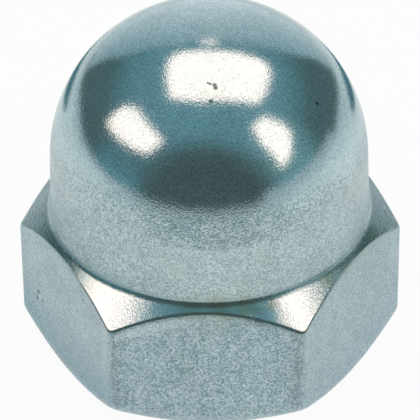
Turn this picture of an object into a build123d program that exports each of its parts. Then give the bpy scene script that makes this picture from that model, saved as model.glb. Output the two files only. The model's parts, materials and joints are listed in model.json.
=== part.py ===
from build123d import *
import os
from math import cos, radians, sin, tan

# A domed cap nut: a hexagon with a conical shoulder, a round cap closed by a
# spherical dome, and a blind hole drilled for an M8 thread.
# The origin is the centre of the bearing face, +Z runs up the thread axis to
# the dome, two flats face +Y and -Y, and two corners point along +X and -X.
# Lengths are in millimetres, angles in degrees.

# Hexagon: its upright edges are crisp at the shoulder and rounder at the foot.
flat_count = 6
across_flats = 13.0
corner_radius_shoulder = 0.25
corner_radius_foot = 0.7

# Foot: the bearing face, and the cone that relieves the corners round it.
bearing_diameter = 11.6
foot_angle = 33.0

# Shoulder: the cone from the cap down to the corners, placed by its height at
# the distance of the flats from the axis.
shoulder_height = 5.98
shoulder_angle = 45.0

# Cap: a spherical dome on a slightly tapered wall, with a hollow root fillet
# that takes up at most a share of the wall.
nut_height = 14.8
dome_diameter = 12.38
wall_draft = 1.1
root_radius = 0.6
root_wall_share = 0.8

# Rounding of the curved edges where the flats meet the shoulder and the foot.
rim_radius = 0.1

# Blind hole, at tapping-drill size, with a countersunk mouth and a drill point.
drill_diameter = 6.8
drill_depth = 11.0
drill_point_angle = 120.0
mouth_diameter = 8.6
mouth_angle = 120.0

# How far cutting shapes run past what they cut.
overrun = 1.0

half_flats = across_flats / 2
corner_distance = half_flats / cos(radians(180 / flat_count))
dome_radius = dome_diameter / 2
dome_centre_level = nut_height - dome_radius
shoulder_slope = tan(radians(shoulder_angle))


def shoulder_level(distance):
    """Height of the shoulder cone at a distance from the axis."""
    return shoulder_height + (half_flats - distance) * shoulder_slope


def root_corner():
    """Where the section's wall and shoulder would meet if the root had no fillet."""
    lean, rise = cos(radians(wall_draft)), sin(radians(wall_draft))
    cone_tip_level = shoulder_level(0)
    distance = (dome_radius - (cone_tip_level - dome_centre_level) * rise) / (lean - shoulder_slope * rise)
    return distance, shoulder_level(distance)


def root_fillet(root, wall_top):
    """Radius of the root fillet, less than its full size where the wall is short."""
    turn = 90 - wall_draft - shoulder_angle
    wall_length = (Vector(wall_top) - Vector(root)).length
    return min(root_radius, wall_length * root_wall_share / tan(radians(turn / 2)))


def turned_blank():
    """All that is round outside: bearing face, foot, shoulder, wall and dome."""
    bearing_radius = bearing_diameter / 2
    rim_distance = corner_distance + overrun
    foot_level = (rim_distance - bearing_radius) * tan(radians(foot_angle))
    root = root_corner()
    dome = CenterArc((0, dome_centre_level), dome_radius, wall_draft, 90 - wall_draft)
    sides = Polyline(
        (0, nut_height),
        (0, 0),
        (bearing_radius, 0),
        (rim_distance, foot_level),
        (rim_distance, shoulder_level(rim_distance)),
        root,
        dome @ 0,
    )
    section = make_face([*sides.edges(), dome])
    root_vertex = section.vertices().sort_by_distance(root)[0]
    section = fillet(root_vertex, root_fillet(root, dome @ 0))
    return revolve(Plane.XZ * section, axis=Axis.Z)


def hexagon_section(level, corner_radius):
    """A hexagon across the axis with rounded corners, two of them over the X axis."""
    plain = RegularPolygon(corner_distance, flat_count)
    return Pos(Z=level) * fillet(plain.vertices(), corner_radius)


def hexagon_bar():
    """The flats, with corners that grow rounder from the shoulder to the foot."""
    foot = hexagon_section(0, corner_radius_foot)
    shoulder = hexagon_section(shoulder_height, corner_radius_shoulder)
    return loft([foot, shoulder], ruled=True) + extrude(shoulder, nut_height)


def round_rims(body):
    """Rounds the curved edges that the foot and shoulder cut on the flats and corners."""
    corners = body.faces().filter_by(GeomType.BSPLINE)
    flats = body.faces().filter_by(GeomType.PLANE).sort_by(Axis.Z)[-flat_count:]
    rims = [edge for face in corners + flats for edge in face.edges() if edge.geom_type != GeomType.LINE]
    return fillet(rims, rim_radius)


def drilled_hole():
    """The blind hole with its countersunk mouth and drill point."""
    radius = drill_diameter / 2
    mouth_slope = tan(radians(mouth_angle / 2))
    mouth_depth = (mouth_diameter / 2 - radius) / mouth_slope
    point_depth = radius / tan(radians(drill_point_angle / 2))
    outline = Polyline(
        (0, -overrun),
        (mouth_diameter / 2 + overrun * mouth_slope, -overrun),
        (radius, mouth_depth),
        (radius, drill_depth),
        (0, drill_depth + point_depth),
        close=True,
    )
    return revolve(Plane.XZ * make_face(outline), axis=Axis.Z)


def cap_nut():
    """The whole nut as one solid."""
    body = turned_blank() & hexagon_bar()
    return round_rims(body) - drilled_hole()


os.makedirs("parts", exist_ok=True)
export_step(cap_nut(), "parts/cap_nut.step")
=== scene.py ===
"""A domed cap nut in zinc-plated steel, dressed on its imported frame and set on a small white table."""

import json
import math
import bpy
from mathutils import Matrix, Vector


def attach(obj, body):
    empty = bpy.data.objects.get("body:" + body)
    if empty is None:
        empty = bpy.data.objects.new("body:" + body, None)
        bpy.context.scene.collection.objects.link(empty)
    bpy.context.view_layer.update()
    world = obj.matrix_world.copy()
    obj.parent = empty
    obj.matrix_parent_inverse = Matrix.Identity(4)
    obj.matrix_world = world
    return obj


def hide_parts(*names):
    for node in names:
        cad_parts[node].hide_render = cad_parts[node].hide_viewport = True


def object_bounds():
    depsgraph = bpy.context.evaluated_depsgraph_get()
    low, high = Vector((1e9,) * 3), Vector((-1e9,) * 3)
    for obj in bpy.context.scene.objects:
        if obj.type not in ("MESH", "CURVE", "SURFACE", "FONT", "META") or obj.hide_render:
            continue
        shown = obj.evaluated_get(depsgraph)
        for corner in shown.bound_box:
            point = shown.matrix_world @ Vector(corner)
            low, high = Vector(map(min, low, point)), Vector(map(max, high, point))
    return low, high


bl_info = {
    "name": "Cap nut",
    "version": (1, 0, 0),
    "blender": (4, 5, 0),
    "location": "View3D > Sidebar > Cap nut",
    "description": "Builds a zinc-plated cap nut and the small studio that shows it",
    "category": "Object",
}

import bmesh
import bpy
import numpy as np
from bpy.props import FloatProperty, FloatVectorProperty, PointerProperty
from mathutils import Matrix, Vector

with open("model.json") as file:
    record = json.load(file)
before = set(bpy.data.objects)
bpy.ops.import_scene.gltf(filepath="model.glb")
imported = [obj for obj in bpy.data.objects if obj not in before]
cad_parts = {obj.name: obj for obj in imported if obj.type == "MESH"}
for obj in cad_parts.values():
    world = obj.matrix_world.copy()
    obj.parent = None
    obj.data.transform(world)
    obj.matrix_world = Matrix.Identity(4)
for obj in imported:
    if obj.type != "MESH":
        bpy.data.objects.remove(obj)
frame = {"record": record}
cad_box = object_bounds()

NODE = "cap_nut"
BODY = "root"

MM = 0.001
TURN = 2 * math.pi
FLATS = 6
MERGE_DISTANCE = 2e-7
SHARP_ANGLE = math.radians(31)
FRONT_FACING = -0.999

# The thread's flanks lean by this angle, and its valleys are this share of the pitch.
FLANK_ANGLE = math.radians(30)
VALLEY_SHARE = 1 / 8

# Steps of the mesh along each stretch of the outline and the section.
FLAT_STEPS = 34
CORNER_STEPS = 10
FACE_STEPS = 4
FOOT_STEPS = 6
RIM_STEPS = 5
UPRIGHT_STEPS = 14
SHOULDER_STEPS = 16
ROOT_STEPS = 12
WALL_STEPS = 12
DOME_STEPS = 72
POINT_STEPS = 8
SETTLE_STEPS = 30

# Share of the flats' height with even rings, and the rings above, in millimetres below the upper edge.
UPRIGHT_SHARE = 0.9
LINE_STEPS = (0.3, 0.22, 0.16, 0.12, 0.09, 0.06, 0.03, 0.0)

# Marks painted on the mesh for its materials, with their usual values.
PLAIN_GRAIN = 0.42
MARKS = {"rim": 0, "root": 0, "smooth": 0, "line": 0, "grain": PLAIN_GRAIN, "band": 0, "pale": 0, "cool": 0}

# Pits and stains: the place on the nut in millimetres, and the size as a share of the usual one.
PITS = (
    ((0.05, -2.73, 14.16), 0.8),
    ((0.14, -2.76, 14.14), 0.9),
    ((0.31, -2.81, 14.12), 1.4),
    ((0.35, -2.90, 14.06), 1.4),
    ((0.19, -3.39, 13.78), 1.3),
    ((4.18, -2.03, 12.66), 1.3),
    ((-1.9, -3.9, 13.1), 0.7),
    ((2.4, 1.9, 13.95), 1.0),
    ((-3.3, 2.6, 13.2), 1.2),
    ((-6.80, -1.22, 2.35), 1.4),
    ((-6.74, -1.33, 2.75), 1.5),
    ((-6.58, -1.61, 2.5), 1.0),
    ((-4.87, -4.57, 5.0), 0.8),
)
STAINS = (
    ((6.35, -1.6, 5.95), 0.5),
    ((5.8, -2.7, 6.0), 0.5),
    ((5.25, -3.68, 6.0), 0.5),
    ((2.5, -6.0, 6.0), 0.35),
    ((1.5, -6.3, 6.05), 0.7),
    ((0.5, -6.45, 6.05), 0.8),
    ((-0.6, -6.45, 6.05), 0.7),
    ((4.6, -4.5, 6.0), 0.5),
    ((3.7, -5.2, 5.3), 0.4),
    ((-3.7, -5.2, 5.2), 0.4),
    ((-5.97, -2.17, 6.2), 0.3),
)

# Bright rubbing on the foot's cone, and how many rim radii it reaches up the flats.
FOOT_RUB = 0.5
FOOT_RUB_REACH = 3

# Marks on the flats, in millimetres from the middle of the front. A shape is a reach and a flat part.
# Extra grain on the front flat, which darkens it partly as painted shade.
FRONT_GRAIN_AND_SHADE = 0.42
BAND_LEFT = -3.53
BAND_RIGHT = 3.47
BAND_SHAPE = (0.19, 1.5)
# Pale film with painted sheen near the front corners.
EDGE_FILM_AND_SHEEN = 0.3
EDGE_FILM_AND_SHEEN_PLACE = 3.95
EDGE_FILM_AND_SHEEN_SHAPE = (0.18, 1.4)
# Bluish painted shade low on the side flats, more on the left and none on the front.
COOL_SHADE_LEFT = 1.3
COOL_SHADE_RIGHT = 0.45
COOL_SHADE_HEIGHT = 2.8 * MM
COOL_SHADE_FALL = 1.2

# The dark line of painted shade under the flats' upper edge, its halo, and the pale streak below of pale film
# and painted sheen, in line widths.
LINE_SHAPE = (1 / 3, 4)
HALO_REACH = 2.5
HALO_FALL = 0.75
HALO_SHARE = 0.45
STREAK_PLACE = 4.2
STREAK_SHAPE = (2, 1.4)
LINE_FRONT = 1.6
LINE_START = 0.3
RIM_LINE = 1.25
NICK_SHADE = 0.75
NICK_FLAT = 1.5

# Polish and grain on the shoulder, duller towards the side corners and where the front right is smeared.
SHOULDER_POLISH = 0.62
SHOULDER_GRAIN = 0.2
SIDE_DULLING = 0.22
SIDE_GRAIN = 0.1
SIDE_START = 0.75
SIDE_SPAN = 0.15
SMEARED_TURNS = ((-60, -48, -34, -26), (0, 1, 1, 0))

# The dark ring of painted shade: where the shoulder is narrow, by turn in degrees, and in the hollow, by turn
# and section.
NARROW_WIDTH = 0.6 * MM
NARROW_RING = (
    (-180, -165, -150, -120, -105, -75, -62, -48, -32, -18, 0, 20, 160, 180),
    (0.6, 0.85, 0.85, 0.62, 0.28, 0.28, 0.4, 0.1, 0.1, 0.8, 0.8, 0.62, 0.62, 0.7),
)
DEEP_RING = ((0, 0.25, 0.5, 0.75, 0.9, 1), (0.1, 0.2, 0.5, 0.5, 0.3, 0.15))
RING_SECTION = ((0, 0.12, 0.6, 0.74, 1), (0.2, 0.9, 1, 0.35, 0))
WALL_START = 0.62
WALL_SPAN = 0.14

# Grain, darker to the front as painted shade, and pale film with painted sheen on the cap, by the way that it
# faces and by height on the dome in degrees.
CAP_GRAIN_AND_SHADE = 0.5
CAP_GRAIN_AND_SHADE_REACH = 1.4
PALE_TURN = math.radians(-78)
PALE_FALL = 1.2
WALL_CROWDING = 1.5
LEAST_FILM_AND_SHEEN = ((-0.1, 0.25), (0.2, 0.5))
FILM_AND_SHEEN_ASIDE = 1.3
FILM_AND_SHEEN_FRONT = 3
DOME_FILM_AND_SHEEN = 1.05
FILM_AND_SHEEN_HEIGHT = 30
RUB_START = 4
RUB_SPAN = 17
RUBBED_GRAIN = 0.38
RUBBED_CALM = 0.25
COARSE_HEIGHT = 11
COARSE_GRAIN = 0.1875


def drill_size():
    """Diameter of the drilled hole in metres, from the record's mount for the bolt."""
    mount = next(mount for mount in frame["record"]["mounts"] if mount["name"] == "thread")
    return 2 * mount["dims"]["r_mm"] * MM


def number(name, description, default, **kind):
    """A setting with one value."""
    return FloatProperty(name=name, description=description, default=default, **kind)


def length(*given):
    """A size of the nut or the studio, in metres."""
    return number(*given, min=0, precision=5, subtype="DISTANCE", unit="LENGTH")


def angle(name, description, degrees):
    """An angle, given in degrees and kept in radians."""
    return number(name, description, math.radians(degrees), subtype="ANGLE", unit="ROTATION")


def share(*given):
    """A strength or a share."""
    return number(*given, min=0, subtype="FACTOR", soft_max=1)


def colour(name, description, default):
    """A colour in linear light."""
    return FloatVectorProperty(
        name=name, description=description, default=default, size=3, min=0, soft_max=1, subtype="COLOR"
    )


class NutSizes(bpy.types.PropertyGroup):
    """Sizes of the nut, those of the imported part."""

    across_flats: length("Across flats", "Spanner size", cad_box[1].y - cad_box[0].y)
    nut_height: length("Height", "Bearing face to the top of the dome", cad_box[1].z)
    bearing_diameter: length("Bearing face", "Diameter of the flat foot", 0.0116)
    foot_angle: angle("Foot angle", "Slope of the cone round the bearing face", 33)
    shoulder_height: length("Shoulder height", "Height of the shoulder over the middle of a flat", 0.00598)
    shoulder_angle: angle("Shoulder angle", "Slope of the cone under the cap", 45)
    corner_radius_foot: length("Foot corners", "Rounding of the upright edges at the foot", 0.0007)
    corner_radius_shoulder: length("Shoulder corners", "Rounding of those edges at the shoulder", 0.000256)
    rim_radius: length("Rim", "Rounding of the flats' upper edge", 0.00005)
    # The rim line that these heights give is painted shade.
    line_width: length("Rim line", "Height of the dark line under the flats' upper edge", 0.00007)
    front_line_width: length("Front rim line", "Height of that line on the front flat", 0.0001)
    foot_rim_radius: length("Foot rim", "Rounding of the flats' lower edge", 0.0001)
    dome_diameter: length("Dome diameter", "Diameter of the round cap", 0.01238)
    wall_draft: angle("Wall draft", "Lean of the cap's wall", 1.1)
    root_radius: length("Root radius", "Hollow between the cap's wall and the shoulder", 0.0006)
    nick_place: length("Nick", "Distance of the rim's nick from the middle of the front flat", 0.00194)
    nick_spread: length("Nick width", "Half the width of the nick", 0.0004)
    nick_height: length("Nick height", "How far the nick reaches down the flat", 0.0003)
    nick_press: length("Nick depth", "How deep the nick is pressed in", 0.00005)
    drill_diameter: length("Drilled hole", "Diameter inside the thread", drill_size())
    drill_depth: length("Hole depth", "Depth of the full drilled hole", 0.011)
    drill_point_angle: angle("Drill point", "Full angle at the end of the hole", 120)
    mouth_diameter: length("Mouth diameter", "Diameter of the countersunk mouth", 0.0086)
    mouth_angle: angle("Mouth angle", "Full angle of the countersink", 120)
    thread_diameter: length("Thread diameter", "Outer diameter of the thread", 0.008)
    thread_pitch: length("Thread pitch", "Rise of one turn of the thread", 0.00125)
    thread_depth: length("Thread depth", "Level at which the thread starts to run out", 0.0093)
    thread_runout: length("Thread runout", "Length over which the thread runs out", 0.0009)


class ZincLooks(bpy.types.PropertyGroup):
    """Colours and grain of the plating."""

    plating: colour("Plating", "Zinc with a clear bluish passivation", (0.53, 0.645, 0.70))
    shade: colour("Shade", "Darker zinc in the hollows of the grain", (0.17, 0.275, 0.305))
    # Painted shade: the rim line under the flats' upper edge and at the nick; the pits use this colour too.
    line: colour("Rim line", "Dark line under the flats' upper edge", (0.03, 0.075, 0.075))
    # Painted shade in the hollow round the foot of the cap.
    ring: colour("Root ring", "Dark ring in the hollow round the foot of the cap", (0.025, 0.15, 0.17))
    # Painted shade, bluish and darker, low on the side flats.
    cool: colour("Cool film", "Bluer passivation low on one flat", (0.25, 0.40, 0.475))
    warm: colour("Warm film", "Yellowish film where the passivation is thick", (0.40, 0.455, 0.33))
    # Partly a whitish film, partly painted sheen where the metal mirrors the bright table.
    pale: colour("Pale film", "Whitish film on the front of the cap", (0.67, 0.72, 0.71))
    bright: colour("Bright edge", "Edges rubbed bright", (0.78, 0.80, 0.78))
    thread: colour("Thread", "Plating inside the hole, thinner and greyer", (0.34, 0.38, 0.39))
    matte_roughness: share("Matte roughness", "Roughness of the flats and the wall", 0.27)
    burnished_roughness: share("Burnished roughness", "Roughness of the rubbed dome", 0.11)
    grain_size: length("Grain size", "Width of one grain", 0.00008)
    grain_depth: length("Grain depth", "Depth of the grain's relief", 0.00006)
    pit_size: length("Pit size", "Radius of a usual pit on the dome", 0.00007)


class StudioLooks(bpy.types.PropertyGroup):
    """Camera, light and table."""

    camera_distance: length("Camera distance", "Lens to the nut", 0.2284)
    camera_height: angle("Camera height", "How steeply the camera looks down", 38.486)
    camera_turn: angle("Camera turn", "Turn of the camera about the nut's axis", 1.494)
    camera_roll: angle("Camera roll", "Tilt of the camera about its own line of sight", -0.653)
    softbox: colour("Softboxes", "Light of the softboxes", (1.0, 0.745, 0.635))
    softbox_radiance: number("Softbox radiance", "Radiance of the softboxes, where 1 is white", 2.4, min=0)
    room_front: colour("Room, front", "Dim room behind the camera", (0.105, 0.137, 0.131))
    room_side: colour("Room, sides", "Dim room to the left and right of the sweep", (0.12, 0.18, 0.178))
    room_wing: colour("Room, wings", "Dim room above those sides", (0.14, 0.275, 0.285))
    room_left: colour("Room, left", "Dim room to the left of the camera", (0.145, 0.265, 0.282))
    room_right: colour("Room, right", "Dim room to the right of the camera", (0.22, 0.39, 0.395))
    room_low: colour("Room, low", "Dim room at the level of the table", (0.16, 0.38, 0.43))
    room_high: colour("Room, high", "Dim room overhead", (0.20, 0.375, 0.41))
    table: colour("Table", "Plain pale table top", (0.69, 0.885, 0.89))


def hexagon_columns():
    """Points of a hexagon with inradius 1, the way each faces and its place along its flat."""
    corner_half = math.tan(math.pi / FLATS)
    points = []
    facings = []
    places = []
    for flat in range(FLATS):
        facing = math.pi / 2 + flat * TURN / FLATS
        across = np.array([math.cos(facing), math.sin(facing)])
        along = np.array([-across[1], across[0]])
        for step in range(FLAT_STEPS + 1):
            place = 2 * step / FLAT_STEPS - 1
            points.append(across + place * corner_half * along)
            facings.append(facing)
            places.append(place)
        for step in range(1, CORNER_STEPS):
            points.append(across + corner_half * along)
            facings.append(facing + step / CORNER_STEPS * TURN / FLATS)
            places.append(1)
    facings = np.array(facings)
    return np.array(points), np.stack([np.cos(facings), np.sin(facings)], axis=1), np.array(places)


class NutForm:
    """The nut's outline round the axis and its turned section, worked out from its sizes."""

    def __init__(self, sizes):
        self.sizes = sizes
        self.half_flats = sizes.across_flats / 2
        self.dome_radius = sizes.dome_diameter / 2
        self.dome_level = sizes.nut_height - self.dome_radius
        self.shoulder_slope = math.tan(sizes.shoulder_angle)
        self.points, self.facings, self.places = hexagon_columns()
        self.count = len(self.points)
        self.place_root()
        self.place_rims()

    def outline(self, level):
        """Distance from the axis and direction of each column on the flats and corners at a height."""
        sizes = self.sizes
        rise = np.clip(level / sizes.shoulder_height, 0, 1)
        radius = sizes.corner_radius_foot + rise * (sizes.corner_radius_shoulder - sizes.corner_radius_foot)
        radius = np.broadcast_to(radius, (self.count,))[:, None]
        plan = (self.half_flats - radius) * self.points + radius * self.facings
        return np.hypot(plan[:, 0], plan[:, 1]), np.arctan2(plan[:, 1], plan[:, 0])

    def place_root(self):
        """Centre of the hollow root and the distances at which it leaves the shoulder and the wall."""
        sizes = self.sizes
        wall = np.array([math.cos(sizes.wall_draft), math.sin(sizes.wall_draft)])
        cone = np.array([math.sin(sizes.shoulder_angle), math.cos(sizes.shoulder_angle)])
        wall_reach = self.dome_radius + self.dome_level * wall[1]
        cone_reach = cone @ (self.half_flats, sizes.shoulder_height)
        reach = np.array([wall_reach, cone_reach]) + sizes.root_radius
        self.root_centre = np.linalg.solve(np.array([wall, cone]), reach)
        self.root_shoulder = (self.root_centre - sizes.root_radius * cone)[0]
        self.root_wall = (self.root_centre - sizes.root_radius * wall)[0]

    def top_level(self, distance):
        """Height of the shoulder and the hollow root at a distance from the axis."""
        sizes = self.sizes
        cone = sizes.shoulder_height + (self.half_flats - distance) * self.shoulder_slope
        inset = np.clip((self.root_centre[0] - distance) / sizes.root_radius, -1, 1)
        hollow = self.root_centre[1] - sizes.root_radius * np.sqrt(1 - inset**2)
        return np.where(distance >= self.root_shoulder, cone, hollow)

    def place_rims(self):
        """Heights at which the foot and the shoulder cut each column, and the rounding of those rims."""
        sizes = self.sizes
        foot_slope = math.tan(sizes.foot_angle)
        foot = np.zeros(self.count)
        shoulder = np.full(self.count, sizes.shoulder_height)
        for _ in range(SETTLE_STEPS):
            foot = (self.outline(foot)[0] - sizes.bearing_diameter / 2) * foot_slope
            shoulder = self.top_level(self.outline(shoulder)[0])
        self.foot_level = foot
        self.shoulder_level = shoulder
        self.foot_reach, self.foot_way = self.outline(foot)
        self.rim_reach, self.rim_way = self.outline(shoulder)
        self.foot_turn = math.pi / 2 - sizes.foot_angle
        self.rim_turn = math.pi / 2 - sizes.shoulder_angle
        self.foot_set_back = sizes.foot_rim_radius * math.tan(self.foot_turn / 2)
        self.rim_set_back = sizes.rim_radius * math.tan(self.rim_turn / 2)
        self.front = np.clip(-self.facings[:, 1], 0, 1) ** 2
        self.front_flat = self.facings[:, 1] < FRONT_FACING


def rising(start, stop, steps):
    """Shares from start to stop, ends included."""
    return np.linspace(start, stop, steps + 1)


class Skin:
    """Rings of points, all with as many columns, that become one mesh."""

    def __init__(self, count):
        self.count = count
        self.rings = []
        self.marks = []

    def add(self, distance, direction, level, **marks):
        """One ring, with its marks, which have their usual value where none is given."""
        points = np.broadcast_arrays(distance * np.cos(direction), distance * np.sin(direction), level)
        self.rings.append(np.stack(points, axis=1))
        values = [np.broadcast_to(marks.get(name, usual), self.count) for name, usual in MARKS.items()]
        self.marks.append(np.stack(values, axis=1))


def fade(distance, reach, flat=1.0):
    """1 near the middle of a mark, falling to 0 over its reach."""
    return np.clip(flat - np.abs(distance) / reach, 0, 1)


def front_grain_and_shade(way):
    """Amount of grain on the cap, stronger towards the front, where the extra dark grain is painted shade."""
    return PLAIN_GRAIN + CAP_GRAIN_AND_SHADE * np.clip(-CAP_GRAIN_AND_SHADE_REACH * np.sin(way), 0, 1)


def front_pale_sheen(way):
    """Amount of pale film and painted sheen on the wall, most to the front and a little right."""
    return np.clip(np.cos(way - PALE_TURN), 0, 1) ** PALE_FALL


def add_foot(skin, form):
    """The bearing face, the cone round it and the rounded lower edge of the flats."""
    sizes = form.sizes
    mouth = sizes.mouth_diameter / 2
    bearing = sizes.bearing_diameter / 2
    for part in rising(0, 1, FACE_STEPS):
        skin.add(mouth * (1 - part) + bearing * part, form.foot_way, 0.0)
    cone_end = form.foot_reach - form.foot_set_back * math.cos(sizes.foot_angle)
    for part in rising(0, 1, FOOT_STEPS)[1:]:
        distance = bearing + (cone_end - bearing) * part
        level = (distance - bearing) * math.tan(sizes.foot_angle)
        skin.add(distance, form.foot_way, level, rim=FOOT_RUB * part**4)
    for lean in rising(-form.foot_turn, 0, RIM_STEPS)[1:]:
        distance = form.foot_reach - sizes.foot_rim_radius * (1 - math.cos(lean))
        level = form.foot_level + form.foot_set_back + sizes.foot_rim_radius * math.sin(lean)
        skin.add(distance, form.foot_way, level, rim=1.0)


def add_flats(skin, form):
    """The flats, the upright edges and their rounded upper rim, with their marks: grain, bands, films, and
    painted shade and sheen.
    """
    sizes = form.sizes
    lower = form.foot_level + form.foot_set_back
    upper = form.shoulder_level - form.rim_set_back
    line_width = np.where(form.front_flat, sizes.front_line_width, sizes.line_width)
    line_share = np.clip(-LINE_FRONT * np.sin(form.rim_way) - LINE_START, 0, 1)
    line_share = np.where(form.front_flat, 1, line_share)
    # Share of the bluish painted shade low on the side flats.
    cool_shade_share = np.sqrt(1 - form.front) * np.where(form.facings[:, 0] < 0, COOL_SHADE_LEFT, COOL_SHADE_RIGHT)
    aside = (form.rim_reach * np.cos(form.rim_way) - sizes.nick_place) / sizes.nick_spread
    nick = np.where(form.front_flat, NICK_SHADE * np.exp(-(aside**4)), 0)
    left_half = np.where(form.front_flat, np.clip(-2 * form.places, 0, 1), 0)
    levels = [lower + (upper - lower) * part for part in rising(0, UPRIGHT_SHARE, UPRIGHT_STEPS)[1:]]
    levels += [upper - step * MM for step in LINE_STEPS]
    for level in levels:
        reach, way = form.outline(level)
        across = reach * np.cos(way) / MM
        to_front = np.sin(way) < 0
        band = fade(across - np.where(across < 0, BAND_LEFT, BAND_RIGHT), *BAND_SHAPE)
        film = EDGE_FILM_AND_SHEEN * fade(np.abs(across) - EDGE_FILM_AND_SHEEN_PLACE, *EDGE_FILM_AND_SHEEN_SHAPE)
        below = (upper - level) / line_width
        # The pale streak and the edge film are pale film with painted sheen.
        streak = left_half * fade(below - STREAK_PLACE, *STREAK_SHAPE)
        # The line's core and halo and the darkening at the nick are painted shade under the rim.
        core = fade(below, *LINE_SHAPE)
        halo = np.clip(HALO_FALL * (HALO_REACH - below), 0, HALO_SHARE)
        dent = nick * fade(upper - level, sizes.nick_height, NICK_FLAT)
        skin.add(
            reach,
            way,
            level,
            rim=fade(level - lower, FOOT_RUB_REACH * sizes.foot_rim_radius),
            line=np.maximum(np.maximum(core, halo) * line_share, dent),
            grain=PLAIN_GRAIN + FRONT_GRAIN_AND_SHADE * form.front,
            band=band * to_front,
            pale=np.maximum(streak, film * to_front),
            cool=fade(level - lower, COOL_SHADE_HEIGHT) ** COOL_SHADE_FALL * cool_shade_share,
        )
    for lean in rising(0, form.rim_turn, RIM_STEPS)[1:]:
        distance = form.rim_reach - sizes.rim_radius * (1 - math.cos(lean))
        level = upper + sizes.rim_radius * math.sin(lean)
        # The line on the rim's rounding is painted shade.
        line = line_share * fade(lean, form.rim_turn, RIM_LINE)
        skin.add(distance, form.rim_way, level, smooth=SHOULDER_POLISH, grain=SHOULDER_GRAIN, line=line)


def add_shoulder(skin, form):
    """The shoulder, worn smooth, and the hollow round the foot of the cap with its dark ring of painted
    shade.
    """
    sizes = form.sizes
    way = form.rim_way
    turned = np.degrees(way)
    beside = np.clip((np.abs(np.cos(way)) - SIDE_START) / SIDE_SPAN, 0, 1)
    worn = SHOULDER_POLISH - SIDE_DULLING * np.maximum(beside, np.interp(turned, *SMEARED_TURNS))
    dull = SHOULDER_GRAIN + SIDE_GRAIN * beside
    # Painted shade of the dark ring where the shoulder is narrow.
    narrow = np.interp(turned, *NARROW_RING) * fade(form.rim_reach - form.root_shoulder, NARROW_WIDTH)
    outer = form.rim_reach - form.rim_set_back * math.cos(sizes.shoulder_angle)
    for part in rising(0, 1, SHOULDER_STEPS)[1:]:
        distance = outer + (form.root_shoulder - outer) * part
        skin.add(distance, way, form.top_level(distance), smooth=worn, grain=dull, root=narrow)
    # Painted shade of the dark ring deep in the hollow.
    deep = np.interp(np.abs(np.cos(way)), *DEEP_RING)
    for part in rising(0, 1, ROOT_STEPS)[1:]:
        lean = form.rim_turn + (sizes.wall_draft - form.rim_turn) * part
        wall = np.clip((part - WALL_START) / WALL_SPAN, 0, 1)
        skin.add(
            form.root_centre[0] - sizes.root_radius * math.cos(lean),
            way,
            form.root_centre[1] - sizes.root_radius * math.sin(lean),
            root=np.maximum(narrow * (1 - wall), deep * np.interp(part, *RING_SECTION)),
            smooth=worn * (1 - wall),
            grain=dull + (front_grain_and_shade(way) - dull) * wall,
            pale=front_pale_sheen(way) * wall,
        )


def add_cap(skin, form):
    """The cap's wall and dome, over which the columns drift from the hexagon's to even steps."""
    sizes = form.sizes
    even = form.rim_way[0] + TURN * np.arange(form.count) / form.count
    drift = (even - form.rim_way + math.pi) % TURN - math.pi
    wall_foot = form.top_level(form.root_wall)
    wall_head = form.dome_level + form.dome_radius * math.sin(sizes.wall_draft)
    for part in rising(0, 1, WALL_STEPS)[1:] ** WALL_CROWDING:
        level = wall_foot + (wall_head - wall_foot) * part
        reach = form.dome_radius - (level - form.dome_level) * math.sin(sizes.wall_draft)
        way = form.rim_way + drift * part
        skin.add(reach / math.cos(sizes.wall_draft), way, level, grain=front_grain_and_shade(way), pale=front_pale_sheen(way))
    way = form.rim_way + drift
    # Pale film with painted sheen on the dome, most to the front and the sides, fading with height.
    film = np.clip(FILM_AND_SHEEN_ASIDE * np.abs(np.cos(way)), np.interp(np.cos(way), *LEAST_FILM_AND_SHEEN), 1)
    film = DOME_FILM_AND_SHEEN * film * np.clip(-FILM_AND_SHEEN_FRONT * np.sin(way), 0, 1)
    for lean in rising(sizes.wall_draft, math.pi / 2, DOME_STEPS)[1:]:
        raised = math.degrees(lean)
        rubbed = np.clip((raised - RUB_START) / RUB_SPAN, 0, 1)
        grain = front_grain_and_shade(way) * (1 - RUBBED_CALM * rubbed)
        grain = grain + COARSE_GRAIN * fade(raised - COARSE_HEIGHT, COARSE_HEIGHT)
        skin.add(
            form.dome_radius * math.cos(lean),
            way,
            form.dome_level + form.dome_radius * math.sin(lean),
            smooth=rubbed,
            grain=np.maximum(grain, PLAIN_GRAIN + RUBBED_GRAIN * rubbed),
            pale=film * fade(raised, FILM_AND_SHEEN_HEIGHT),
        )


def outside_skin(form):
    """The nut's outside, from the hole's mouth round the foot, up the flats and over the dome."""
    skin = Skin(form.count)
    for add in (add_foot, add_flats, add_shoulder, add_cap):
        add(skin, form)
    return skin


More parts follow.
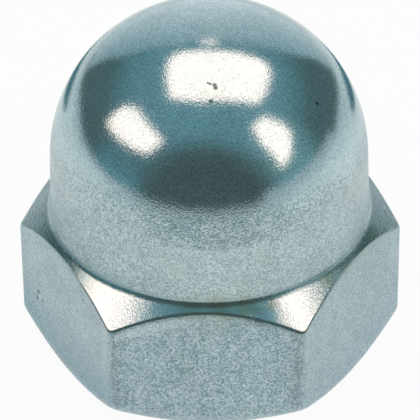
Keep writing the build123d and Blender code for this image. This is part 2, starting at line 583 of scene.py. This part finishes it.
def hole_skin(form):
    """The inside: countersunk mouth, right-hand thread with its runout, plain bore and drill point."""
    sizes = form.sizes
    drill = sizes.drill_diameter / 2
    depth = sizes.thread_diameter / 2 - drill
    pitch = sizes.thread_pitch
    flank = depth * math.tan(FLANK_ANGLE)
    valley = pitch * VALLEY_SHARE
    crest = pitch - valley - 2 * flank
    section = (
        (0, 0),
        (crest, 0),
        (crest + flank / 2, 0.5),
        (crest + flank, 1),
        (crest + flank + valley, 1),
        (crest + 1.5 * flank + valley, 0.5),
    )
    way = np.append(form.foot_way, form.foot_way[0] + TURN)
    way[:-1] = way[0] + (way[:-1] - way[0]) % TURN
    climb = pitch * (way - way[0]) / TURN

    skin = Skin(form.count + 1)
    turns = math.ceil(sizes.drill_depth / pitch) + 1
    for turn in range(-1, turns):
        for rise, cut in section:
            level = np.clip(turn * pitch + rise + climb, 0, sizes.drill_depth)
            kept = np.clip((sizes.thread_depth + sizes.thread_runout - level) / sizes.thread_runout, 0, 1)
            mouth = sizes.mouth_diameter / 2 - level * math.tan(sizes.mouth_angle / 2)
            skin.add(np.maximum(mouth, drill + depth * cut * kept), way, level, rim=(1 - cut) * kept)
    point = drill / math.tan(sizes.drill_point_angle / 2)
    for part in rising(0, 1, POINT_STEPS):
        skin.add(drill * (1 - part), way, sizes.drill_depth + point * part)
    return skin


def nick_rim(form, points):
    """Presses the small dent that handling left on the front flat's upper edge."""
    sizes = form.sizes
    level = form.top_level(np.hypot(sizes.nick_place, form.half_flats))
    gap = np.linalg.norm(points - (sizes.nick_place, -form.half_flats, level), axis=1)
    press = sizes.nick_press * np.exp(-((gap / sizes.nick_spread) ** 2))
    points[:, 1] += press
    points[:, 2] -= press / 2


def join_skins(skins):
    """Vertices, faces, marks and material numbers of several skins as one list each."""
    vertices = []
    marks = []
    faces = []
    finishes = []
    start = 0
    for finish, (skin, closed) in enumerate(skins):
        count = skin.count
        vertices.append(np.concatenate(skin.rings))
        marks.append(np.concatenate(skin.marks))
        columns = np.arange(count if closed else count - 1)
        beside = (columns + 1) % count
        for ring in range(len(skin.rings) - 1):
            low = start + ring * count
            high = low + count
            faces.append(np.stack([low + columns, low + beside, high + beside, high + columns], axis=1))
            finishes.append(np.full(len(columns), finish))
        start += count * len(skin.rings)
    return np.concatenate(vertices), np.concatenate(faces), np.concatenate(marks), np.concatenate(finishes)


def closed_mesh(name, vertices, faces, marks, finishes):
    """One watertight mesh with its marks as point attributes."""
    mesh = bpy.data.meshes.new(name)
    mesh.from_pydata(vertices.tolist(), [], faces.tolist())
    mesh.polygons.foreach_set("material_index", finishes.astype(np.int32))
    for column, label in enumerate(MARKS):
        layer = mesh.attributes.new(label, "FLOAT", "POINT")
        layer.data.foreach_set("value", marks[:, column].astype(np.float32))
    work = bmesh.new()
    work.from_mesh(mesh)
    bmesh.ops.remove_doubles(work, verts=work.verts, dist=MERGE_DISTANCE)
    bmesh.ops.recalc_face_normals(work, faces=work.faces)
    open_edges = sum(not edge.is_manifold for edge in work.edges)
    work.to_mesh(mesh)
    work.free()
    if open_edges:
        raise RuntimeError(f"{name} has {open_edges} open edges")
    mesh.shade_smooth()
    mesh.set_sharp_from_angle(angle=SHARP_ANGLE)
    return mesh


def put(tree, kind, inputs=(), **settings):
    """Adds a node, sets its options, and fills or links its inputs."""
    node = tree.nodes.new(kind)
    for key, value in settings.items():
        setattr(node, key, value)
    for key, value in dict(inputs).items():
        if isinstance(value, bpy.types.NodeSocket):
            tree.links.new(value, node.inputs[key])
        else:
            node.inputs[key].default_value = value
    return node


def calculate(tree, operation, first, second=0.0, third=0.0, clamp=False):
    """One step of arithmetic on values or sockets."""
    node = put(tree, "ShaderNodeMath", {0: first, 1: second, 2: third}, operation=operation, use_clamp=clamp)
    return node.outputs[0]


def spread(tree, value, low, high, start=0.0, stop=1.0):
    """Maps a value's range low to high onto start to stop, smoothly and no further."""
    sockets = {"Value": value, "From Min": low, "From Max": high, "To Min": start, "To Max": stop}
    return put(tree, "ShaderNodeMapRange", sockets, interpolation_type="SMOOTHSTEP").outputs["Result"]


def blend(tree, factor, first, second, kind="MIX"):
    """Mixes two colours by a factor."""
    sides = [side if isinstance(side, bpy.types.NodeSocket) else (*side, 1.0) for side in (first, second)]
    sockets = {0: factor, 6: sides[0], 7: sides[1]}
    return put(tree, "ShaderNodeMix", sockets, data_type="RGBA", blend_type=kind).outputs[2]


def vector(tree, operation, first, second=(0, 0, 0)):
    """One step of arithmetic on vectors."""
    return put(tree, "ShaderNodeVectorMath", {0: first, 1: second}, operation=operation).outputs


def place(tree, stretch=(1, 1, 1)):
    """Position on the nut, in metres, stretched along its axes."""
    return vector(tree, "MULTIPLY", put(tree, "ShaderNodeTexCoord").outputs["Object"], stretch)[0]


def mark(tree, name):
    """A point attribute of the mesh as a value."""
    return put(tree, "ShaderNodeAttribute", attribute_name=name).outputs["Fac"]


def new_group(name, inputs, outputs):
    """An empty node group with named sockets, and its input and output nodes."""
    tree = bpy.data.node_groups.new(name, "ShaderNodeTree")
    for socket, default in inputs.items():
        made = tree.interface.new_socket(name=socket, in_out="INPUT", socket_type="NodeSocketFloat")
        made.default_value = default
    for socket in outputs:
        tree.interface.new_socket(name=socket, in_out="OUTPUT", socket_type="NodeSocketFloat")
    return tree, tree.nodes.new("NodeGroupInput").outputs, tree.nodes.new("NodeGroupOutput").inputs


def times(tree, first, second):
    """Two values multiplied."""
    return calculate(tree, "MULTIPLY", first, second)


def line_of(tree, value, gain, offset):
    """A value times a gain, plus an offset."""
    return calculate(tree, "MULTIPLY_ADD", value, gain, offset)


def noise(tree, where, scale, detail=2.0, roughness=0.5, distortion=0.0):
    """Smooth noise, mostly between 0.3 and 0.7."""
    sockets = {"Vector": where, "Scale": scale, "Detail": detail}
    sockets.update({"Roughness": roughness, "Distortion": distortion})
    return put(tree, "ShaderNodeTexNoise", sockets).outputs["Fac"]


# The grain's layers: their scales and shares, and the ranges of noise that show.
FINE_SHARE = 0.66
COARSE_SCALE = 0.37
COARSE_SHARE = 0.2
PATCH_SCALE = 0.11
PATCH_SHARE = 0.14
DUST_SCALE = 1.6
DUST_SHARE = 0.88
POLISH_LINE_SHARE = 0.12
POLISH_LINE_STRETCH = (0.06, 0.06, 1)
FLECK_SCALE = 0.45
FLECK_STRETCH = (1, 1, 1.3)
FLECK_RANGE = (0.6, 0.7, 0.0, 0.4)
TONE_RANGE = (0.39, 0.6)
FINE_RANGE = (0.38, 0.62)
SPECK_RANGE = (0.64, 0.74)


def grain_group():
    """Fine crystalline grain of electroplated zinc: tone, finer tone where polished, relief and specks."""
    outputs = ("Tone", "Fine", "Relief", "Speck")
    tree, given, result = new_group("plating_grain", {"Grains per Metre": 9000.0}, outputs)
    grains = given[0]
    here = place(tree)
    fine = noise(tree, here, grains, roughness=0.6, distortion=0.4)
    coarse = noise(tree, here, times(tree, grains, COARSE_SCALE), detail=3.0, roughness=0.65)
    patch = noise(tree, here, times(tree, grains, PATCH_SCALE))
    relief = line_of(tree, coarse, COARSE_SHARE, times(tree, fine, FINE_SHARE))
    relief = line_of(tree, patch, PATCH_SHARE, relief)
    finest = times(tree, grains, DUST_SCALE)
    dust = noise(tree, here, finest, roughness=0.6)
    lines = noise(tree, place(tree, POLISH_LINE_STRETCH), finest, detail=1.0)
    polished = line_of(tree, lines, POLISH_LINE_SHARE, times(tree, dust, DUST_SHARE))
    fleck = noise(tree, place(tree, FLECK_STRETCH), times(tree, grains, FLECK_SCALE))
    fleck = spread(tree, fleck, *FLECK_RANGE)
    tone = calculate(tree, "SUBTRACT", spread(tree, relief, *TONE_RANGE), fleck, clamp=True)
    tree.links.new(tone, result["Tone"])
    tree.links.new(spread(tree, polished, *FINE_RANGE), result["Fine"])
    tree.links.new(relief, result["Relief"])
    tree.links.new(spread(tree, dust, *SPECK_RANGE), result["Speck"])
    return tree


# Ranges of noise that show as clouds and as film, and how far the film's noise lies from the clouds'.
CLOUD_RANGE = (0.3, 0.7)
FILM_RANGE = (0.52, 0.72)
FILM_SHIFT = (0.031, 0.017, 0.023)


def drift_group():
    """Slow changes over the surface: light and dark clouds, and where a warm film shows."""
    tree, given, result = new_group("plating_drift", {"Clouds per Metre": 420.0}, ("Cloud", "Film"))
    here = place(tree)
    cloud = noise(tree, here, given[0], detail=4.0)
    film = noise(tree, vector(tree, "ADD", here, FILM_SHIFT)[0], given[0], detail=5.0, roughness=0.7)
    tree.links.new(spread(tree, cloud, *CLOUD_RANGE), result["Cloud"])
    tree.links.new(spread(tree, film, *FILM_RANGE), result["Film"])
    return tree


# How near to the edge, with the noise added, the rubbing starts and is full.
RUBBED_RANGE = (1.25, 1.6)


def wear_and_shade_group():
    """Edges rubbed bright in broken lines, from a mark that is 1 on the edge; the same mask breaks up the rim
    line's painted shade.
    """
    tree, given, result = new_group("edge_wear_and_shade", {"Edge": 0.0, "Breaks per Metre": 5200.0}, ("Rubbed",))
    breaks = noise(tree, place(tree), given[1], detail=3.0)
    chance = calculate(tree, "ADD", given[0], breaks)
    tree.links.new(spread(tree, chance, *RUBBED_RANGE), result["Rubbed"])
    return tree


def spots_group(name, spots, inner, outer):
    """A mask of listed round spots that fade out between two shares of their size."""
    tree, given, result = new_group(name, {"Spot Size": MM}, ("Spot",))
    here = place(tree)
    mask = 0.0
    for place_mm, size in spots:
        away = vector(tree, "DISTANCE", here, Vector(place_mm) * MM)["Value"]
        away = calculate(tree, "DIVIDE", away, times(tree, given[0], size))
        mask = calculate(tree, "MAXIMUM", spread(tree, away, inner, outer, 1.0, 0.0), mask)
    tree.links.new(mask, result["Spot"])
    return tree


def place_group(tree, group, inputs=()):
    """A node group placed in a material, with its own values."""
    return put(tree, "ShaderNodeGroup", inputs, node_tree=group).outputs


def cleared(owner):
    """The node tree of a new material or world, emptied."""
    owner.use_nodes = True
    owner.node_tree.nodes.clear()
    return owner.node_tree


def add_metal(tree, base, rough, height, depth, strength=1.0):
    """A metal's shader, from its colour, roughness and relief."""
    bump = put(tree, "ShaderNodeBump", {"Height": height, "Distance": depth, "Strength": strength}).outputs[0]
    sockets = {"Base Color": base, "Roughness": rough, "Normal": bump, "Metallic": 1.0}
    shader = put(tree, "ShaderNodeBsdfPrincipled", sockets).outputs[0]
    put(tree, "ShaderNodeOutputMaterial", {"Surface": shader})


# How strongly each effect shows in the plating. A pair is a gain and an offset.
PLAIN_SHADE = (0.1, 0.95)
POLISH_SHADE = 0.18
PALE_SHADE = 0.14
BAND_SHADE = -0.16
PALE_FILM_AND_SHEEN = (0.3, 0.38)
COOL_SHADE_MIX = (0.3, 0.65)
BAND_FILM = (0.6, 0.08)
STAIN_FILM = (0.3, 0.45)
RIM_BRIGHT = 0.2
LINE_BREAKS = 1.25
LINE_RAGGED = 0.92
LINE_EVEN = 0.6
PIT_SHADE = 0.88
POLISH_CALM = (-0.89, 1.0)
POLISH_FINE = (0.45, 1.0, 0.0, 0.75)
TONE_MIDDLE = 0.5
TONE_ROUGHNESS = 0.05
SPECK_ROUGHNESS = 0.2


def plating_tone(tree, looks, grain, drift, smooth):
    """Colour of the grain, darker in its hollows, and lighter or darker in clouds, bands and film."""
    finer = calculate(tree, "SUBTRACT", grain["Fine"], grain["Tone"])
    tone = line_of(tree, finer, spread(tree, mark(tree, "smooth"), *POLISH_FINE), grain["Tone"])
    tone = times(tree, calculate(tree, "SUBTRACT", 1.0, tone), mark(tree, "grain"))
    base = blend(tree, tone, looks.plating, looks.shade)
    shade = line_of(tree, drift["Cloud"], *PLAIN_SHADE)
    shade = line_of(tree, smooth, POLISH_SHADE, shade)
    # The pale mark lightens the base as painted sheen.
    shade = line_of(tree, mark(tree, "pale"), PALE_SHADE, shade)
    shade = line_of(tree, mark(tree, "band"), BAND_SHADE, shade)
    grey = put(tree, "ShaderNodeCombineColor", {0: shade, 1: shade, 2: shade}).outputs[0]
    return blend(tree, 1.0, base, grey, "MULTIPLY")


def plating_films(tree, looks, groups, drift, base):
    """Pale film with painted sheen, bluish painted shade low on the side flats, and warm films of passivation
    over the grain.
    """
    # Pale film with painted sheen.
    pale = times(tree, line_of(tree, drift["Film"], *PALE_FILM_AND_SHEEN), mark(tree, "pale"))
    base = blend(tree, pale, base, looks.pale)
    # Bluish painted shade low on the side flats.
    cool = times(tree, mark(tree, "cool"), line_of(tree, drift["Cloud"], *COOL_SHADE_MIX))
    base = blend(tree, cool, base, looks.cool)
    warm = times(tree, drift["Film"], line_of(tree, mark(tree, "band"), *BAND_FILM))
    stain = place_group(tree, groups["stains"])["Spot"]
    warm = line_of(tree, stain, line_of(tree, drift["Cloud"], *STAIN_FILM), warm)
    return blend(tree, warm, base, looks.warm)


def plating_wear_and_shade(tree, looks, groups, base):
    """Bright rubbed edges, the dark ring and line of painted shade, and pits over the films."""
    rubbed = place_group(tree, groups["wear"], {"Edge": mark(tree, "rim")})["Rubbed"]
    base = blend(tree, times(tree, rubbed, RIM_BRIGHT), base, looks.bright)
    # The root ring is painted shade in the hollow.
    base = blend(tree, mark(tree, "root"), base, looks.ring)
    # The rim line, broken by the same mask, is painted shade.
    line = mark(tree, "line")
    ragged = place_group(tree, groups["wear"], {"Edge": times(tree, line, LINE_BREAKS)})["Rubbed"]
    line = calculate(tree, "MAXIMUM", times(tree, ragged, LINE_RAGGED), times(tree, line, LINE_EVEN))
    base = blend(tree, line, base, looks.line)
    pit = place_group(tree, groups["pits"], {"Spot Size": looks.pit_size})["Spot"]
    return blend(tree, times(tree, pit, PIT_SHADE), base, looks.line)


def plating_material(looks, groups):
    """Zinc plating outside: grained and bluish, rubbed smooth on the dome and bright on the edges."""
    material = bpy.data.materials.new("zinc_plating")
    tree = cleared(material)
    grain = place_group(tree, groups["grain"], {"Grains per Metre": 1 / looks.grain_size})
    drift = place_group(tree, groups["drift"])
    smooth = spread(tree, mark(tree, "smooth"), 0.0, 1.0)

    base = plating_tone(tree, looks, grain, drift, smooth)
    base = plating_films(tree, looks, groups, drift, base)
    base = plating_wear_and_shade(tree, looks, groups, base)

    rough = line_of(tree, smooth, looks.burnished_roughness - looks.matte_roughness, looks.matte_roughness)
    rough = line_of(tree, calculate(tree, "SUBTRACT", TONE_MIDDLE, grain["Tone"]), TONE_ROUGHNESS, rough)
    rough = line_of(tree, grain["Speck"], SPECK_ROUGHNESS, rough)

    calm = spread(tree, mark(tree, "grain"), 0.0, PLAIN_GRAIN)
    calm = times(tree, line_of(tree, smooth, *POLISH_CALM), calm)
    add_metal(tree, base, rough, times(tree, grain["Relief"], calm), looks.grain_depth)
    return material


# The cut thread's finish: turning marks round the hole, film, rubbed crests and roughness.
THREAD_GRAIN_SCALE = 0.8
THREAD_CLOUDS = 600.0
TURNING_STRETCH = (0.04, 0.04, 1)
TURNING_SCALE = 14000.0
TURNING_SHARE = 0.3
THREAD_TONE = 0.4
THREAD_FILM = 0.35
CREST_BRIGHT = 0.35
THREAD_ROUGHNESS = (0.12, 0.3)
TURNING_RELIEF = 0.6


def thread_material(looks, groups):
    """Thin plating on the cut thread: greyer, with turning marks round the hole."""
    material = bpy.data.materials.new("plated_thread")
    tree = cleared(material)
    grain = place_group(tree, groups["grain"], {"Grains per Metre": THREAD_GRAIN_SCALE / looks.grain_size})
    drift = place_group(tree, groups["drift"], {"Clouds per Metre": THREAD_CLOUDS})
    wear = place_group(tree, groups["wear"], {"Edge": mark(tree, "rim")})
    turning = noise(tree, place(tree, TURNING_STRETCH), TURNING_SCALE, detail=1.0)
    tone = line_of(tree, turning, TURNING_SHARE, times(tree, grain["Tone"], THREAD_TONE))
    base = blend(tree, tone, looks.shade, looks.thread)
    base = blend(tree, times(tree, drift["Film"], THREAD_FILM), base, looks.warm)
    base = blend(tree, times(tree, wear["Rubbed"], CREST_BRIGHT), base, looks.bright)
    rough = line_of(tree, drift["Cloud"], *THREAD_ROUGHNESS)
    add_metal(tree, base, rough, turning, looks.grain_depth, TURNING_RELIEF)
    return material


# Where pits and stains start to fade and end, as shares of their size.
PIT_FADE = (0.6, 1.2)
STAIN_FADE = (0.1, 1.2)


class CAPNUT_OT_build_nut(bpy.types.Operator):
    """Builds the plated nut in place of its plain solid"""

    bl_idname = "cap_nut.build_nut"
    bl_label = "Build the nut"

    def execute(self, context):
        form = NutForm(context.scene.nut_sizes)
        looks = context.scene.zinc_looks
        vertices, faces, marks, finishes = join_skins([(outside_skin(form), True), (hole_skin(form), False)])
        nick_rim(form, vertices)
        mesh = closed_mesh("cap_nut_skin", vertices, faces, marks, finishes)
        groups = {"grain": grain_group(), "drift": drift_group(), "wear": wear_and_shade_group()}
        groups["pits"] = spots_group("dome_pits", PITS, *PIT_FADE)
        groups["stains"] = spots_group("warm_stains", STAINS, *STAIN_FADE)
        mesh.materials.append(plating_material(looks, groups))
        mesh.materials.append(thread_material(looks, groups))
        nut = bpy.data.objects.new("cap_nut_plated", mesh)
        context.scene.collection.objects.link(nut)
        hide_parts(NODE)
        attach(nut, BODY)
        return {"FINISHED"}


def white_material(name, base, camera_share, mirror_share, fading, stretch):
    """A pale surface, white to the camera and fading from white in the metal as painted falloff of light,
    with its shadows kept.
    """
    material = bpy.data.materials.new(name)
    tree = cleared(material)
    ray = put(tree, "ShaderNodeLightPath").outputs
    mirrored = calculate(tree, "MAXIMUM", ray["Is Glossy Ray"], ray["Is Transmission Ray"])
    seen = times(tree, ray["Is Camera Ray"], camera_share)
    factor = line_of(tree, mirrored, mirror_share, seen)
    # The fade is painted falloff of light, seen only in the metal.
    near, far, dim = fading
    away = vector(tree, "LENGTH", place(tree, stretch))["Value"]
    faded = spread(tree, away, near * MM, far * MM)
    faded = times(tree, faded, calculate(tree, "SUBTRACT", 1.0, ray["Is Camera Ray"]))
    paper = put(tree, "ShaderNodeBsdfDiffuse", {"Color": (*base, 1.0)}).outputs[0]
    light = blend(tree, faded, (1.0, 1.0, 1.0), dim)
    white = put(tree, "ShaderNodeEmission", {"Color": light, "Strength": 1.0}).outputs[0]
    mixed = put(tree, "ShaderNodeMixShader", {0: factor, 1: paper, 2: white}).outputs[0]
    put(tree, "ShaderNodeOutputMaterial", {"Surface": mixed})
    return material


def stage_sheet(name, corners, material):
    """A flat sheet of the stage."""
    mesh = bpy.data.meshes.new(name)
    mesh.from_pydata([Vector(corner) * MM for corner in corners], [], [tuple(range(len(corners)))])
    mesh.materials.append(material)
    sheet = bpy.data.objects.new(name, mesh)
    bpy.context.scene.collection.objects.link(sheet)
    return sheet


def glowing_material(name, light, radiance):
    """The lit face of a softbox or a card."""
    material = bpy.data.materials.new(name)
    tree = cleared(material)
    lamp = put(tree, "ShaderNodeEmission", {"Color": (*light, 1.0), "Strength": radiance}).outputs[0]
    put(tree, "ShaderNodeOutputMaterial", {"Surface": lamp})
    return material


# Where the parts of the dim room begin and end: sideways, to the back, upwards, and about the front.
ROOM_ASIDE = (-0.5, 0.5)
ROOM_BACK = (-0.25, 0.15)
ROOM_LOW = (0.0, 0.25, 0.5, 0.0)
ROOM_WING = (0.25, 0.6)
ROOM_HIGH = (0.4, 0.85)
FRONT_WAY = (0, -0.996, -0.087)
ROOM_FRONT = (0.5, 0.8)


def set_room(looks):
    """A dim room round the table, white to the camera alone."""
    world = bpy.data.worlds.new("dim_room")
    tree = cleared(world)
    way = put(tree, "ShaderNodeTexCoord").outputs["Generated"]
    x, y, height = put(tree, "ShaderNodeSeparateXYZ", {0: way}).outputs
    beside = blend(tree, spread(tree, x, *ROOM_ASIDE), looks.room_left, looks.room_right)
    beside = blend(tree, spread(tree, height, *ROOM_LOW), beside, looks.room_low)
    side = blend(tree, spread(tree, height, *ROOM_WING), looks.room_side, looks.room_wing)
    room = blend(tree, spread(tree, y, *ROOM_BACK), beside, side)
    room = blend(tree, spread(tree, height, *ROOM_HIGH), room, looks.room_high)
    facing = vector(tree, "DOT_PRODUCT", way, FRONT_WAY)["Value"]
    room = blend(tree, spread(tree, facing, *ROOM_FRONT), room, looks.room_front)
    camera = put(tree, "ShaderNodeLightPath").outputs["Is Camera Ray"]
    shown = blend(tree, camera, room, (1.0, 1.0, 1.0))
    back = put(tree, "ShaderNodeBackground", {"Color": shown, "Strength": 1.0}).outputs[0]
    put(tree, "ShaderNodeOutputWorld", {"Surface": back})
    bpy.context.scene.world = world


# The camera's aim in millimetres, its sensor and focal length in millimetres, and its range in metres.
CAMERA_AIM = (0.014, -0.108, 5.918)
SENSOR_WIDTH = 36.0
FOCAL_LENGTH = 499.94
CLIP_START = 0.01
CLIP_END = 20.0


def set_camera(looks):
    """A long lens at the photograph's height and angle."""
    lens = bpy.data.cameras.new("long_lens")
    lens.sensor_width = SENSOR_WIDTH
    lens.lens = FOCAL_LENGTH
    lens.clip_start = CLIP_START
    lens.clip_end = CLIP_END
    camera = bpy.data.objects.new("camera", lens)
    bpy.context.scene.collection.objects.link(camera)
    turn = Matrix.Rotation(looks.camera_turn, 3, "Z")
    back = turn @ Vector((0, -math.cos(looks.camera_height), math.sin(looks.camera_height)))
    right = turn @ Vector((1, 0, 0))
    up = back.cross(right)
    cos_roll, sin_roll = math.cos(looks.camera_roll), math.sin(looks.camera_roll)
    axes = Matrix((cos_roll * right + sin_roll * up, cos_roll * up - sin_roll * right, back)).transposed()
    aim = Vector(CAMERA_AIM) * MM
    camera.matrix_world = Matrix.Translation(aim + back * looks.camera_distance) @ axes.to_4x4()
    bpy.context.scene.camera = camera


# Corners of the stage's sheets, in millimetres. The table and the dark cards are mirrored left to right.
TABLE_HALF = ((300, -160), (300, 180), (100, 88), (42, 59), (34, 70))
SWEEP_DISTANCE = 70
SWEEP_ARCH = (
    (-57, 0), (53, 0), (55, 18), (63, 41), (63, 66), (51, 85),
    (40, 104), (-40, 108), (-55, 86), (-68, 68), (-70, 48), (-61, 18),
)
SOFTBOX_HEIGHT = 300
SOFTBOX_OVER = (
    (-138, -46), (-143, 60), (-132, 140), (-104, 158), (0, 146), (155, 168),
    (200, 172), (232, 140), (220, 0), (190, -52), (-26, -75),
)
SOFTBOXES = {
    "softbox_over": [(x, y, SOFTBOX_HEIGHT) for x, y in SOFTBOX_OVER],
    "softbox_left": (
        (-127, 7, 52), (-113, 6, 82), (-101, -10, 98), (-88, -50, 99),
        (-69, -78, 95), (-92, -79, 70), (-107, -62, 65), (-120, -37, 59),
    ),
    "softbox_right": (
        (69, -60, 109), (85, -36, 108), (106, -29, 88), (117, -30, 70), (118, -47, 55),
        (116, -61, 44), (109, -73, 42), (101, -74, 61), (84, -72, 87),
    ),
    "softbox_small": ((-14, 126, 168), (14, 126, 168), (13, 112, 179), (-13, 112, 179)),
}
LOW_CARD = ((225, 60, 0), (150, -190, 0), (150, -190, 20), (225, 60, 20))
DARK_CARD_LEVEL = 0.2
DARK_CARD_HALF = ((6, 19), (17, 21), (29, 23.5), (30.5, 27.5), (26, 31), (20, 30.5), (12, 26), (6, 23))
DARK_CARD_LIGHT = (0.08, 0.21, 0.24)

# The table and the sweep: whiteness to the camera and in the metal, how it fades there as painted falloff of
# light, and its stretch.
TABLE_WHITE = (0.94, 0.65, (10, 75, (0.70, 0.72, 0.73)), (0.35, 1, 0))
SWEEP_WHITE = (1.0, 1.0, (-27, 140, (0.36, 0.485, 0.505)), (1.85, 0, 1))


class CAPNUT_OT_set_stage(bpy.types.Operator):
    """Sets the table, the sweep behind it, the softboxes, the room and the camera"""

    bl_idname = "cap_nut.set_stage"
    bl_label = "Set the stage"

    def execute(self, context):
        looks = context.scene.studio_looks
        table = white_material("white_table", looks.table, *TABLE_WHITE)
        outline = [(x, y, 0) for x, y in TABLE_HALF] + [(-x, y, 0) for x, y in reversed(TABLE_HALF)]
        stage_sheet("table", outline, table)
        sweep = white_material("white_sweep", looks.table, *SWEEP_WHITE)
        arch = [(x, SWEEP_DISTANCE, z) for x, z in SWEEP_ARCH]
        stage_sheet("sweep", arch, sweep).visible_camera = False
        glow = glowing_material("softbox_face", looks.softbox, looks.softbox_radiance)
        for name, outline in SOFTBOXES.items():
            stage_sheet(name, outline, glow).visible_camera = False
        stage_sheet("low_card", LOW_CARD, table).visible_camera = False
        dark = glowing_material("dark_card", DARK_CARD_LIGHT, 1.0)
        for side in (-1, 1):
            outline = [(side * x, y, DARK_CARD_LEVEL) for x, y in DARK_CARD_HALF]
            card = stage_sheet("dark_card", outline, dark)
            card.visible_camera = False
            card.visible_diffuse = False
            card.visible_shadow = False
        set_room(looks)
        set_camera(looks)
        context.scene.view_settings.view_transform = "Standard"
        return {"FINISHED"}


class VIEW3D_PT_cap_nut(bpy.types.Panel):
    """Sizes, colours and the two building steps"""

    bl_label = "Cap nut"
    bl_space_type = "VIEW_3D"
    bl_region_type = "UI"
    bl_category = "Cap nut"

    def draw(self, context):
        for group in ("nut_sizes", "zinc_looks", "studio_looks"):
            settings = getattr(context.scene, group)
            box = self.layout.box()
            for name in settings.__annotations__:
                box.prop(settings, name)
        self.layout.operator(CAPNUT_OT_build_nut.bl_idname)
        self.layout.operator(CAPNUT_OT_set_stage.bl_idname)


SETTINGS = {"nut_sizes": NutSizes, "zinc_looks": ZincLooks, "studio_looks": StudioLooks}
CLASSES = (*SETTINGS.values(), CAPNUT_OT_build_nut, CAPNUT_OT_set_stage, VIEW3D_PT_cap_nut)


def register():
    for entry in CLASSES:
        bpy.utils.register_class(entry)
    for name, group in SETTINGS.items():
        setattr(bpy.types.Scene, name, PointerProperty(type=group))


def unregister():
    for name in SETTINGS:
        delattr(bpy.types.Scene, name)
    for entry in reversed(CLASSES):
        bpy.utils.unregister_class(entry)


def main():
    """Builds the nut on its stage."""
    register()
    bpy.ops.cap_nut.build_nut()
    bpy.ops.cap_nut.set_stage()


if __name__ == "__main__":
    main()
